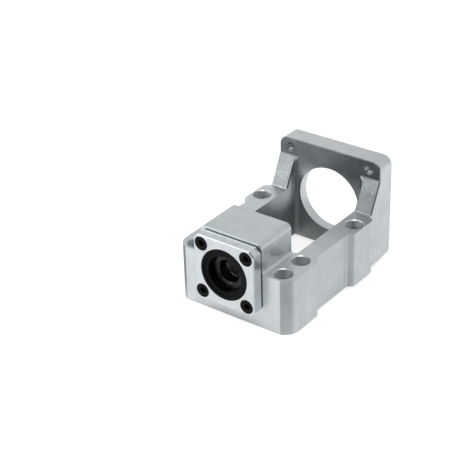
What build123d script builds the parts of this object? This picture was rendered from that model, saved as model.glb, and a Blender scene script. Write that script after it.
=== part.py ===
from build123d import *
from math import atan2, cos, degrees, radians, sin
import os

# Motor bracket with a built-in screw support, all sizes in millimetres and angles in degrees
# X runs across the bracket, Y from the bearing cover to the motor, Z up from the base plane
# The origin is on the base plane, below the middle of the bearing block

# Bearing block and shaft axis
axis_height = 27.5
block_length = 25.5
block_width = 36.8
block_above_axis = 20.0
block_edge_radius = 3.0
block_rear_chamfer = 0.4
block_foot_radius = 1.5

# Side walls and their bosses
wall_height = 31.0
wall_inner_x = 21.3
boss_outside_flange = 3.1
boss_outside_wall = 3.0
front_corner_radius = 9.0
front_corner_start = 21.5
blend_length = 5.0
pocket_corner_radius = 2.4
pocket_length = 61.5

# Vertical bolt holes, measured from the front face and the sides of the bosses
front_hole_from_side = 8.1
rear_hole_from_side = 5.6
front_hole_from_front = 6.4
front_hole_pitch = 15.0
rear_hole_from_front = 66.6
wall_hole_radius = 4.7
wall_hole_chamfer = 0.45
front_boss_end = 23.5
rear_boss_start = 54.5
rear_boss_end = 74.0

# Motor flange
flange_side_margin = 6.75
flange_end_margin = 5.25
flange_thickness = 11.5
flange_corner_radius = 5.0
flange_edge_chamfer = 0.4
flange_foot_step = 2.5
pilot_radius = 25.0
pilot_depth = 3.4
relief_radius = 24.0
relief_depth = 2.4
flange_bore_radius = 18.4
motor_hole_pitch = 49.5
motor_tap_radius = 2.1
motor_tap_chamfer = 0.6
lower_tap_depth = 8.5

# Gussets between the walls and the flange
gusset_foot = 8.3
gusset_top_below_tap = 4.45
gusset_edge_chamfer = 0.6
gusset_root_depth = 1.0

# Bearing pair
shaft_radius = 6.0
bearing_outer_radius = 14.0
bearing_width = 8.0
bearing_seat_clearance = 0.02
rear_shoulder_width = 0.5
ball_share = 0.595
ball_count = 11
race_clearance = 0.08
high_shoulder_share = 0.35
outer_low_shoulder_share = 0.55
inner_low_shoulder_share = 0.5
ring_chamfer = 0.4
cage_inside_pitch = 0.65
cage_outside_pitch = 0.7
cage_width = 6.2
cage_pocket_clearance = 0.12

# Oil seals and collar
front_seal_radius = 14.0
rear_seal_radius = 12.5
seal_width = 5.0
seal_set_back = 0.1
seal_seat_clearance = 0.03
seal_wall = 1.5
seal_web = 0.9
seal_web_set_back = 0.5
lip_edge_width = 0.3
lip_edge_from_face = 4.2
lip_heel_length = 1.0
lip_set_back = 0.1
lip_slope = 0.35
lip_clearance = 0.05
front_lip_radius = 9.5
rear_lip_radius = 8.2
lip_thickness = 1.1
spring_wire_radius = 0.35
spring_groove_clearance = 0.03
spring_from_face = 4.25
spring_stand_out = 0.12
collar_set_back = 4.0
collar_edge_chamfer = 0.3
collar_bore_chamfer = 0.6

# Retaining cover and its screws
cover_width = 36.6
cover_thickness = 5.8
cover_gap = 0.6
cover_corner_chamfer = 2.6
cover_edge_chamfer = 0.5
spigot_clearance = 0.05
spigot_bore_radius = 11.8
cover_screw_from_edge = 4.8
screw_radius = 2.0
screw_clearance_radius = 2.25
thread_clearance = 0.05
screw_length = 12.0
tapped_depth = 13.0
head_radius = 3.5
head_height = 4.0
head_chamfer = 0.3
sink_radius = 3.85
sink_depth = 4.2
socket_across_flats = 3.0
socket_depth = 2.0

# How close an edge must lie to the place where it is looked for
near = 0.01

# Widths and heights that follow the motor's screws
flange_width = motor_hole_pitch + 2 * flange_side_margin
flange_height = motor_hole_pitch + 2 * flange_end_margin
boss_outer_x = flange_width / 2 + boss_outside_flange
wall_outer_x = boss_outer_x - boss_outside_wall
front_hole_x = boss_outer_x - front_hole_from_side
rear_hole_x = boss_outer_x - rear_hole_from_side
front_edge_x = boss_outer_x - front_corner_radius * (1 - sin(radians(front_corner_start)))
block_top = axis_height + block_above_axis
gusset_top = axis_height + motor_hole_pitch / 2 - gusset_top_below_tap

# Cover screws, set in from its edges
cover_screw_pitch = cover_width - 2 * cover_screw_from_edge

# Races, balls and cages between the shaft and the bearing seat
pitch_radius = (bearing_outer_radius + shaft_radius) / 2
half_section = (bearing_outer_radius - shaft_radius) / 2
ball_radius = ball_share * half_section
outer_high_shoulder = pitch_radius + high_shoulder_share * half_section
outer_low_shoulder = pitch_radius + outer_low_shoulder_share * half_section
inner_high_shoulder = pitch_radius - high_shoulder_share * half_section
inner_low_shoulder = pitch_radius - inner_low_shoulder_share * half_section
cage_inner_radius = pitch_radius - cage_inside_pitch
cage_outer_radius = pitch_radius + cage_outside_pitch

# Planes and stations along the shaft
front_y = -block_length / 2
rear_y = block_length / 2
flange_near_y = rear_y + pocket_length
motor_face_y = flange_near_y + flange_thickness
rear_seat_y = rear_y - seal_width - rear_shoulder_width
bearing_front_y = rear_seat_y - 2 * bearing_width
cover_back_y = front_y - cover_gap
cover_front_y = cover_back_y - cover_thickness
collar_front_y = cover_front_y + collar_set_back
flange_bottom = axis_height - flange_height / 2

shaft_axis = Axis((0, 0, axis_height), (0, 1, 0))
section_plane = Plane(origin=(0, 0, axis_height), x_dir=(0, 1, 0), z_dir=(1, 0, 0))


def cross_plane(y):
    """Plane across the shaft axis at y, with X to the right and Z up."""
    return Plane(origin=(0, y, axis_height), x_dir=(1, 0, 0), z_dir=(0, -1, 0))


# Bracket body
with BuildPart() as bracket_body:
    # Motor flange, centred on the shaft axis
    with BuildSketch(cross_plane(motor_face_y)):
        RectangleRounded(flange_width, flange_height, flange_corner_radius)
    extrude(amount=flange_thickness)
    chamfer(bracket_body.faces().sort_by(Axis.Y)[-1].edges(), length=flange_edge_chamfer)

    # Bearing block, rounded along its top and crisp at the rear
    with BuildSketch(cross_plane(rear_y)):
        with Locations((0, (block_top - 2 * axis_height) / 2)):
            Rectangle(block_width, block_top)
    extrude(amount=block_length)
    block_top_edges = bracket_body.edges().filter_by(Axis.Y).filter_by_position(Axis.Y, -near, near)
    fillet(block_top_edges.group_by(Axis.Z)[-1], radius=block_edge_radius)
    block_rear = bracket_body.faces().filter_by_position(Axis.Y, rear_y - near, rear_y + near)
    chamfer(block_rear.edges().sort_by(Axis.Z)[1:], length=block_rear_chamfer)

    # Plan of the base, with the bosses standing out from the thinner walls
    blend_angle = degrees(2 * atan2(boss_outside_wall, blend_length))
    blend_radius = blend_length / (2 * sin(radians(blend_angle)))
    with BuildSketch(Plane.XY):
        with BuildLine():
            front = Line((0, front_y), (front_edge_x, front_y))
            heading = (cos(radians(front_corner_start)), sin(radians(front_corner_start)))
            corner = JernArc(front @ 1, heading, front_corner_radius, 90 - front_corner_start)
            front_side = Line(corner @ 1, (boss_outer_x, front_y + front_boss_end))
            leave = JernArc(front_side @ 1, (0, 1), blend_radius, blend_angle)
            join = JernArc(leave @ 1, leave % 1, blend_radius, -blend_angle)
            wall_side = Line(join @ 1, (wall_outer_x, front_y + rear_boss_start))
            rise = JernArc(wall_side @ 1, (0, 1), blend_radius, -blend_angle)
            settle = JernArc(rise @ 1, rise % 1, blend_radius, blend_angle)
            rear_side = Line(settle @ 1, (boss_outer_x, front_y + rear_boss_end))
            end = JernArc(rear_side @ 1, (0, 1), boss_outside_flange, 90)
            back_side = Line(end @ 1, (flange_width / 2, flange_near_y + flange_foot_step))
            back = Line(back_side @ 1, (0, flange_near_y + flange_foot_step))
            mirror(about=Plane.YZ)
        make_face()
    extrude(amount=wall_height)

    # Fillet where the block rises out of the wall tops
    feet = bracket_body.edges().filter_by_position(Axis.Z, wall_height - near, wall_height + near)
    feet = feet.filter_by_position(Axis.X, -block_width / 2 - near, block_width / 2 + near)
    feet = feet.filter_by_position(Axis.Y, front_y + near, rear_y + near)
    fillet(feet, radius=block_foot_radius)

    # Gussets from the wall tops to the flange
    with BuildSketch(Plane.YZ.offset(wall_inner_x - pocket_corner_radius)):
        with BuildLine():
            foot_y = flange_near_y - gusset_foot
            root_y = flange_near_y + gusset_root_depth
            root_z = wall_height - gusset_root_depth
            Polyline(
                (foot_y, wall_height), (flange_near_y, gusset_top), (root_y, gusset_top),
                (root_y, root_z), (foot_y, root_z), close=True,
            )
        make_face()
    gusset = extrude(amount=flange_width / 2 - wall_inner_x + pocket_corner_radius)
    mirror(gusset, about=Plane.YZ)

    # Space for the shaft coupling, open at the top and the bottom
    with BuildSketch(Plane.XY.offset(flange_bottom)):
        with Locations((0, rear_y + pocket_length / 2)):
            RectangleRounded(2 * wall_inner_x, pocket_length, pocket_corner_radius)
    extrude(amount=flange_height, mode=Mode.SUBTRACT)

    # Base plane machined past the near face of the flange, which leaves its foot as a lip
    with BuildSketch(Plane.XY):
        with Locations((0, (flange_near_y + flange_foot_step) / 2)):
            Rectangle(2 * boss_outer_x, flange_near_y + flange_foot_step)
    extrude(amount=flange_bottom, mode=Mode.SUBTRACT)

    # Broken edges along the gussets and round the near face of the flange
    gusset_faces = bracket_body.faces().filter_by(GeomType.PLANE).filter_by_position(
        Axis.Y, flange_near_y - gusset_foot, flange_near_y - near)
    gusset_faces = gusset_faces.filter_by_position(Axis.Z, wall_height + near, gusset_top)
    gusset_faces = gusset_faces.filter_by(lambda f: f.normal_at().Z > near)
    rims = gusset_faces.edges().filter_by(lambda e: abs((e @ 1).Z - (e @ 0).Z) > near)
    chamfer(rims, length=gusset_edge_chamfer)
    flange_near_edges = bracket_body.edges().filter_by(Axis.X).filter_by_position(
        Axis.Y, flange_near_y - near, flange_near_y + near)
    chamfer(flange_near_edges.sort_by(Axis.Z)[-1], length=flange_edge_chamfer)

    # Bearing seat and the smaller seat of the rear seal
    with BuildSketch(section_plane):
        with BuildLine():
            Polyline(
                (front_y, 0), (front_y, bearing_outer_radius), (rear_seat_y, bearing_outer_radius),
                (rear_seat_y, rear_seal_radius), (rear_y, rear_seal_radius), (rear_y, 0), close=True,
            )
        make_face()
    revolve(axis=shaft_axis, mode=Mode.SUBTRACT)

    # Tapped holes for the cover screws
    with Locations(cross_plane(front_y)):
        with GridLocations(cover_screw_pitch, cover_screw_pitch, 2, 2):
            Hole(screw_radius + thread_clearance, depth=tapped_depth)

    # Stepped pilot recess and bore of the flange
    with BuildSketch(section_plane):
        with BuildLine():
            pilot_y = motor_face_y - pilot_depth
            relief_y = pilot_y - relief_depth
            Polyline(
                (flange_near_y, 0), (flange_near_y, flange_bore_radius), (relief_y, flange_bore_radius),
                (relief_y, relief_radius), (pilot_y, relief_radius), (pilot_y, pilot_radius),
                (motor_face_y, pilot_radius), (motor_face_y, 0), close=True,
            )
        make_face()
    revolve(axis=shaft_axis, mode=Mode.SUBTRACT)

    # Tapped holes for the motor screws, through at the top and blind above the lip
    with Locations(cross_plane(motor_face_y).rotated((180, 0, 0))):
        for side, depth in ((-1, flange_thickness), (1, lower_tap_depth)):
            with Locations((0, side * motor_hole_pitch / 2)):
                with GridLocations(motor_hole_pitch, motor_hole_pitch, 2, 1):
                    Hole(motor_tap_radius, depth=depth)

    # Vertical bolt holes with chamfered mouths
    with Locations(Plane.XY.offset(wall_height)):
        with Locations((0, front_y + front_hole_from_front + front_hole_pitch / 2)):
            with GridLocations(2 * front_hole_x, front_hole_pitch, 2, 2):
                Hole(wall_hole_radius)
        with Locations((0, front_y + rear_hole_from_front)):
            with Locations((-rear_hole_x, 0), (rear_hole_x, 0)):
                Hole(wall_hole_radius)
    circles = bracket_body.edges().filter_by(GeomType.CIRCLE)
    mouths = circles.filter_by_position(Axis.Z, wall_height - near, wall_height + near)
    chamfer(mouths.filter_by(lambda e: abs(e.radius - wall_hole_radius) < near), length=wall_hole_chamfer)

    # Countersunk mouths of the motor screw threads, on both faces where they go through
    circles = bracket_body.edges().filter_by(GeomType.CIRCLE)
    mouths = circles.filter_by_position(Axis.Y, flange_near_y - near, flange_near_y + near)
    mouths += circles.filter_by_position(Axis.Y, motor_face_y - near, motor_face_y + near)
    chamfer(mouths.filter_by(lambda e: abs(e.radius - motor_tap_radius) < near), length=motor_tap_chamfer)


# Retaining cover: a plate whose spigot clamps the outer rings, with the seal seat in its front
with BuildPart() as retaining_cover:
    with BuildSketch(cross_plane(cover_back_y)):
        outline = Rectangle(cover_width, cover_width)
        chamfer(outline.vertices(), length=cover_corner_chamfer)
    extrude(amount=cover_thickness)
    chamfer(retaining_cover.faces().sort_by(Axis.Y)[0].edges(), length=cover_edge_chamfer)
    with BuildSketch(cross_plane(bearing_front_y)):
        Circle(bearing_outer_radius - spigot_clearance)
    extrude(amount=bearing_front_y - cover_back_y)
    with BuildSketch(section_plane):
        with BuildLine():
            seat_y = cover_front_y + seal_set_back + seal_width
            Polyline(
                (cover_front_y, 0), (cover_front_y, front_seal_radius), (seat_y, front_seal_radius),
                (seat_y, spigot_bore_radius), (bearing_front_y, spigot_bore_radius),
                (bearing_front_y, 0), close=True,
            )
        make_face()
    revolve(axis=shaft_axis, mode=Mode.SUBTRACT)
    with Locations(cross_plane(cover_front_y)):
        with GridLocations(cover_screw_pitch, cover_screw_pitch, 2, 2):
            CounterBoreHole(screw_clearance_radius, sink_radius, sink_depth)


# Socket head screws of the cover
screw_seat = cross_plane(cover_front_y + sink_depth)
cover_screws = []
for place in GridLocations(cover_screw_pitch, cover_screw_pitch, 2, 2).locations:
    seat = Plane(screw_seat.location * place)
    with BuildPart() as cover_screw:
        with BuildSketch(seat):
            Circle(head_radius)
        extrude(amount=head_height)
        chamfer(cover_screw.faces().sort_by(Axis.Y)[0].edges(), length=head_chamfer)
        with BuildSketch(seat):
            Circle(screw_radius)
        extrude(amount=-screw_length)
        chamfer(cover_screw.faces().sort_by(Axis.Y)[-1].edges(), length=head_chamfer)
        with BuildSketch(seat.offset(head_height)):
            RegularPolygon(socket_across_flats / 2, 6, major_radius=False)
        extrude(amount=-socket_depth, mode=Mode.SUBTRACT)
    cover_screws.append(cover_screw)


# Oil seals with their garter springs, the front one in the cover and the rear one in the block
seals = {}
for place, seat_radius, lip_radius, face_y, inward in (
    ("front", front_seal_radius, front_lip_radius, cover_front_y + seal_set_back, 1),
    ("rear", rear_seal_radius, rear_lip_radius, rear_y - seal_set_back, -1),
):
    rim = seat_radius - seal_seat_clearance
    sleeve = rim - seal_wall
    lip = lip_radius + lip_clearance
    lip_back = lip + lip_thickness
    web_end = seal_web_set_back + seal_web
    profile = [
        (0, rim), (seal_width, rim), (seal_width, sleeve), (web_end, sleeve),
        (web_end, lip_back + lip_slope), (lip_edge_from_face - lip_heel_length, lip_back),
        (seal_width - lip_set_back, lip_back), (seal_width - lip_set_back, lip + lip_slope),
        (lip_edge_from_face + lip_edge_width, lip), (lip_edge_from_face, lip),
        (web_end, lip + lip_slope), (seal_web_set_back, lip + lip_slope),
        (seal_web_set_back, sleeve), (0, sleeve),
    ]
    spring_centre = (face_y + inward * spring_from_face, lip_back + spring_stand_out)
    with BuildPart() as oil_seal:
        with BuildSketch(section_plane):
            with BuildLine():
                Polyline([(face_y + inward * along, radius) for along, radius in profile], close=True)
            make_face()
            with Locations(spring_centre):
                Circle(spring_wire_radius + spring_groove_clearance, mode=Mode.SUBTRACT)
        revolve(axis=shaft_axis)
    with BuildPart() as seal_spring:
        with BuildSketch(section_plane):
            with Locations(spring_centre):
                Circle(spring_wire_radius)
        revolve(axis=shaft_axis)
    seals[place] = (oil_seal, seal_spring)


# Collar that runs in the front seal and clamps the inner rings
with BuildPart() as front_collar:
    with BuildSketch(section_plane):
        with BuildLine():
            Polyline(
                (collar_front_y, shaft_radius + collar_bore_chamfer),
                (collar_front_y, front_lip_radius - collar_edge_chamfer),
                (collar_front_y + collar_edge_chamfer, front_lip_radius),
                (bearing_front_y, front_lip_radius),
                (bearing_front_y, shaft_radius),
                (collar_front_y + collar_bore_chamfer, shaft_radius),
                close=True,
            )
        make_face()
    revolve(axis=shaft_axis)


# Pair of angular contact bearings, mirrored about the plane where they meet
bearings = {}
for place, start_y, inward in (
    ("front", bearing_front_y, 1),
    ("rear", bearing_front_y + 2 * bearing_width, -1),
):
    middle = bearing_width / 2
    outer = bearing_outer_radius - bearing_seat_clearance
    race_radius = ball_radius + race_clearance
    middle_y = start_y + inward * middle
    outer_profile = [
        (0, outer_low_shoulder), (middle, outer_low_shoulder), (middle, outer_high_shoulder),
        (bearing_width, outer_high_shoulder), (bearing_width, outer - ring_chamfer),
        (bearing_width - ring_chamfer, outer), (ring_chamfer, outer), (0, outer - ring_chamfer),
    ]
    inner_profile = [
        (0, shaft_radius + ring_chamfer), (ring_chamfer, shaft_radius),
        (bearing_width - ring_chamfer, shaft_radius), (bearing_width, shaft_radius + ring_chamfer),
        (bearing_width, inner_low_shoulder), (middle, inner_low_shoulder),
        (middle, inner_high_shoulder), (0, inner_high_shoulder),
    ]
    rings = []
    for profile in (outer_profile, inner_profile):
        with BuildPart() as ring:
            with BuildSketch(section_plane):
                with BuildLine():
                    Polyline([(start_y + inward * along, radius) for along, radius in profile], close=True)
                make_face()
                with Locations((middle_y, pitch_radius)):
                    Circle(race_radius, mode=Mode.SUBTRACT)
            revolve(axis=shaft_axis)
        rings.append(ring)
    with BuildPart() as balls:
        with Locations(cross_plane(middle_y)):
            with PolarLocations(pitch_radius, ball_count):
                Sphere(ball_radius)
    with BuildPart() as cage:
        with Locations(cross_plane(middle_y)):
            Cylinder(cage_outer_radius, cage_width)
            Cylinder(cage_inner_radius, cage_width, mode=Mode.SUBTRACT)
            with PolarLocations(pitch_radius, ball_count):
                Cylinder(ball_radius + cage_pocket_clearance, 2 * ball_radius, rotation=(0, 90, 0),
                         mode=Mode.SUBTRACT)
    bearings[place] = {"outer_ring": rings[0], "inner_ring": rings[1], "balls": balls, "cage": cage}


# Labels and files
os.makedirs("parts", exist_ok=True)
pieces = {"bracket_body": bracket_body, "retaining_cover": retaining_cover, "front_collar": front_collar}
for number, screw in enumerate(cover_screws, start=1):
    pieces[f"cover_screw_{number}"] = screw
for place, (oil_seal, seal_spring) in seals.items():
    pieces[f"{place}_oil_seal"] = oil_seal
    pieces[f"{place}_seal_spring"] = seal_spring
for place, members in bearings.items():
    for member, piece in members.items():
        pieces[f"{place}_{member}"] = piece
for label, piece in pieces.items():
    piece.part.label = label
    export_step(piece.part, f"parts/{label}.step")
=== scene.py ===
import logging
import math
from dataclasses import dataclass
from enum import Enum

import bmesh
import bpy
from mathutils import Matrix, Vector


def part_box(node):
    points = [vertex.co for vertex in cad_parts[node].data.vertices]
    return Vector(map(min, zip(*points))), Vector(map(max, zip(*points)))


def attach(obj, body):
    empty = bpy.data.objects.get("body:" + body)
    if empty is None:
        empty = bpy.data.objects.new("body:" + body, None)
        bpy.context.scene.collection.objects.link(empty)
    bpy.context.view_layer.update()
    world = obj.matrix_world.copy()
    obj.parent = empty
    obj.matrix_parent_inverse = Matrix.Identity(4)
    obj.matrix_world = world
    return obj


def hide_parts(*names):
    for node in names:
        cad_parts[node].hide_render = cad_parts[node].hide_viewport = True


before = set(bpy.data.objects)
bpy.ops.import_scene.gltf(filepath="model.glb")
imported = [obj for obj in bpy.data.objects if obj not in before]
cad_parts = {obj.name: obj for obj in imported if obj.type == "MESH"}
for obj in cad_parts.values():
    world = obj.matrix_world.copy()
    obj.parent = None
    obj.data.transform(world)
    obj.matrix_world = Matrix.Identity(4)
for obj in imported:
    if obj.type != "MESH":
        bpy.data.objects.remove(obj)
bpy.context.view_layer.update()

MM = 0.001
WHITE = (1.0, 1.0, 1.0, 1.0)
# How far noise swings from its mean before a pattern reaches its limits
NOISE_MEAN = 0.5
HARD, PLAIN, SOFT = 0.15, 0.2, 0.3
LOG = logging.getLogger("bracket_scene")

# What the input of a shader node can be given
Signal = bpy.types.Node | bpy.types.NodeSocket | float


class Body(Enum):
    """Bodies of the frame that the new pieces ride on."""

    HOUSING = "housing"


class Slot(Enum):
    """Material slots of the record that go with the new pieces. Only the casting's is read, and gives the
    threads their finish.
    """

    CASTING = "cast_aluminium"
    SCREW = "black_oxide_steel"
    SEAL = "seal_rubber"
    SPRING = "spring_steel"


class Inward(Enum):
    """Way from a seal's outer face into the block, along the shaft axis."""

    BACKWARD = 1
    FORWARD = -1


def linear(colour: str) -> tuple[float, float, float, float]:
    """Turn an sRGB hex colour into linear light.

    Args:
        colour: Six hex digits after a hash sign.

    Returns:
        Red, green, blue and an alpha of one.
    """
    parts = [int(colour[i:i + 2], 16) / 255 for i in (1, 3, 5)]
    light = [c / 12.92 if c <= 0.04045 else ((c + 0.055) / 1.055) ** 2.4 for c in parts]
    return (light[0], light[1], light[2], 1.0)


def per_metre(size_mm: float) -> float:
    """Texture scale whose features are about size_mm across."""
    return 1 / MM / size_mm


def add(tree: bpy.types.NodeTree, kind: str, settings: dict | None = None,
        inputs: dict | None = None) -> bpy.types.Node:
    """Add one node with its settings and links.

    Args:
        tree: Node tree that gets the node.
        kind: Blender's name of the node type.
        settings: Properties to set on the node.
        inputs: Values, sockets or nodes by input name or number. A node stands for its first output.

    Returns:
        The new node.
    """
    node = tree.nodes.new(kind)
    for name, value in (settings or {}).items():
        setattr(node, name, value)
    for key, value in (inputs or {}).items():
        if isinstance(value, bpy.types.Node):
            value = value.outputs[0]
        if isinstance(value, bpy.types.NodeSocket):
            tree.links.new(value, node.inputs[key])
        else:
            node.inputs[key].default_value = value
    return node


def ramp(tree: bpy.types.NodeTree, value: Signal, start: float, end: float,
         low: float = 0.0, high: float = 1.0) -> bpy.types.Node:
    """Turn a value into a smooth step.

    Args:
        tree: Node tree to draw in.
        value: Node or socket to read.
        start: Value where the step begins.
        end: Value where the step ends, which may be below start.
        low: Result at the start.
        high: Result at the end.

    Returns:
        Node whose output runs from low to high.
    """
    return add(tree, "ShaderNodeMapRange", {"interpolation_type": "SMOOTHSTEP"},
               {"Value": value, "From Min": start, "From Max": end, "To Min": low, "To Max": high})


def past(tree: bpy.types.NodeTree, value: Signal, limit: float, fade: float) -> bpy.types.Node:
    """Mask of the values past a limit.

    Args:
        tree: Node tree to draw in.
        value: Node or socket to read.
        limit: Value where the mask begins.
        fade: Width over which it comes in, negative for a mask of the values below the limit.

    Returns:
        Node that gives one past the fade and zero before the limit.
    """
    return ramp(tree, value, limit, limit + fade)


def beside(tree: bpy.types.NodeTree, value: Signal, limit: float,
           slack: tuple[float, float]) -> bpy.types.Node:
    """Mask that comes in close to a limit.

    Args:
        tree: Node tree to draw in.
        value: Node or socket to read.
        limit: Value that the mask keeps to.
        slack: How far from the limit it begins and ends.

    Returns:
        Node that gives one on the side where it ends.
    """
    return ramp(tree, value, limit + slack[0], limit + slack[1])


def vary(tree: bpy.types.NodeTree, noise: Signal, low: float, high: float,
         reach: float = PLAIN) -> bpy.types.Node:
    """Turn noise into a value that varies between two limits.

    Args:
        tree: Node tree to draw in.
        noise: Noise with a mean of one half.
        low: Result in its troughs.
        high: Result on its crests.
        reach: Swing from the mean at which the limits are met. Less gives harder patches.

    Returns:
        Node whose output runs from low to high.
    """
    return ramp(tree, noise, NOISE_MEAN - reach, NOISE_MEAN + reach, low, high)


def all_of(tree: bpy.types.NodeTree, *masks: Signal) -> Signal:
    """Multiply masks, so that only what lies in all of them stays."""
    total = masks[0]
    for mask in masks[1:]:
        total = add(tree, "ShaderNodeMath", {"operation": "MULTIPLY"}, {0: total, 1: mask})
    return total


def sum_of(tree: bpy.types.NodeTree, *values: Signal) -> Signal:
    """Add values, such as heights in millimetres."""
    total = values[0]
    for value in values[1:]:
        total = add(tree, "ShaderNodeMath", {"operation": "ADD"}, {0: total, 1: value})
    return total


def grain(tree: bpy.types.NodeTree, place: Signal, size_mm: tuple[float, float, float],
          detail: float = 3.0) -> bpy.types.Node:
    """Noise whose blotches have a real size along each axis.

    Args:
        tree: Node tree to draw in.
        place: Object position in metres.
        size_mm: Blotch size along X, Y and Z.
        detail: Octaves of finer noise.

    Returns:
        Noise node with a mean of one half.
    """
    stretched = add(tree, "ShaderNodeVectorMath", {"operation": "MULTIPLY"},
                    {0: place, 1: tuple(per_metre(size) for size in size_mm)})
    return add(tree, "ShaderNodeTexNoise", {}, {"Vector": stretched, "Scale": 1.0, "Detail": detail})


@dataclass(frozen=True)
class Finish:
    """One real material and the way its surface was made."""

    name: str
    colour: str
    roughness: float
    metallic: float = 0.0
    ior: float = 1.5
    darker: str = "#000000"
    lighter: str = "#FFFFFF"

    def material(self) -> bpy.types.Material:
        """Build the material.

        Returns:
            A node material with this finish's detail drawn in.
        """
        made = bpy.data.materials.new(self.name)
        made.use_nodes = True
        tree = made.node_tree
        shader = tree.nodes["Principled BSDF"]
        shader.inputs["Base Color"].default_value = linear(self.colour)
        shader.inputs["Roughness"].default_value = self.roughness
        shader.inputs["Metallic"].default_value = self.metallic
        shader.inputs["IOR"].default_value = self.ior
        self.draw(tree, shader, add(tree, "ShaderNodeTexCoord").outputs["Object"])
        return made

    def draw(self, tree: bpy.types.NodeTree, shader: bpy.types.Node, place: Signal) -> None:
        """Draw the detail of the surface.

        Args:
            tree: Node tree of the material.
            shader: Its principled shader.
            place: Object position in metres.
        """

    def tint(self, tree: bpy.types.NodeTree, shader: bpy.types.Node, amount: Signal) -> None:
        """Blend the base colour between the finish's two shades.

        Args:
            tree: Node tree of the material.
            shader: Its principled shader.
            amount: Zero for the darker shade and one for the lighter.
        """
        mix = add(tree, "ShaderNodeMix", {"data_type": "RGBA"}, {
            0: amount, 6: linear(self.darker), 7: linear(self.lighter)})
        tree.links.new(mix.outputs[2], shader.inputs["Base Color"])

    def roughen(self, tree: bpy.types.NodeTree, shader: bpy.types.Node, *changes: Signal) -> None:
        """Add changes to the finish's roughness."""
        total = sum_of(tree, self.roughness, *changes)
        tree.links.new(total.outputs[0], shader.inputs["Roughness"])

    def relief(self, tree: bpy.types.NodeTree, shader: bpy.types.Node, *heights_mm: Signal) -> None:
        """Give the surface a bump from heights in millimetres."""
        bump = add(tree, "ShaderNodeBump", {}, {
            "Height": sum_of(tree, *heights_mm), "Distance": MM, "Strength": 1.0})
        tree.links.new(bump.outputs[0], shader.inputs["Normal"])


@dataclass(frozen=True)
class CastingPlaces:
    """Where the casting has its holes and faces, millimetres in the frame's coordinates."""

    axis_height: float = 27.5
    wall_top: float = 31.0
    hole_radius: float = 4.7
    front_hole_x: float = 26.5
    front_holes_y: tuple[float, float] = (-6.35, 8.65)
    rear_hole_x: float = 29.0
    rear_hole_y: float = 53.85
    pocket_x: float = 21.3
    gusset_start_y: float = 65.5
    flange_y: float = 74.25
    tap_offset: float = 24.75
    tap_radius: float = 2.1
    joint_y: float = -12.75
    joint_half: float = 18.1
    joint_corner: float = 33.6
    # Where the masks of these places begin and end, measured from each, with room for the mesh's facets
    hole_slack: tuple[float, float] = (0.1, 0.02)
    plane_slack: tuple[float, float] = (-0.4, -0.2)
    wall_slack: tuple[float, float] = (0.2, 0.1)
    joint_slack: tuple[float, float] = (0.2, 0.0)
    corner_slack: tuple[float, float] = (0.0, -0.3)
    below_top: tuple[float, float] = (0.0, -0.6)
    above_top: tuple[float, float] = (0.0, 0.4)
    gusset_slack: tuple[float, float] = (0.0, 0.5)


@dataclass(frozen=True)
class Spot:
    """Where a point lies, millimetres, and the part of its normal along each axis."""

    across: Signal
    along: Signal
    height: Signal
    aside: Signal
    backward: Signal
    upward: Signal


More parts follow.
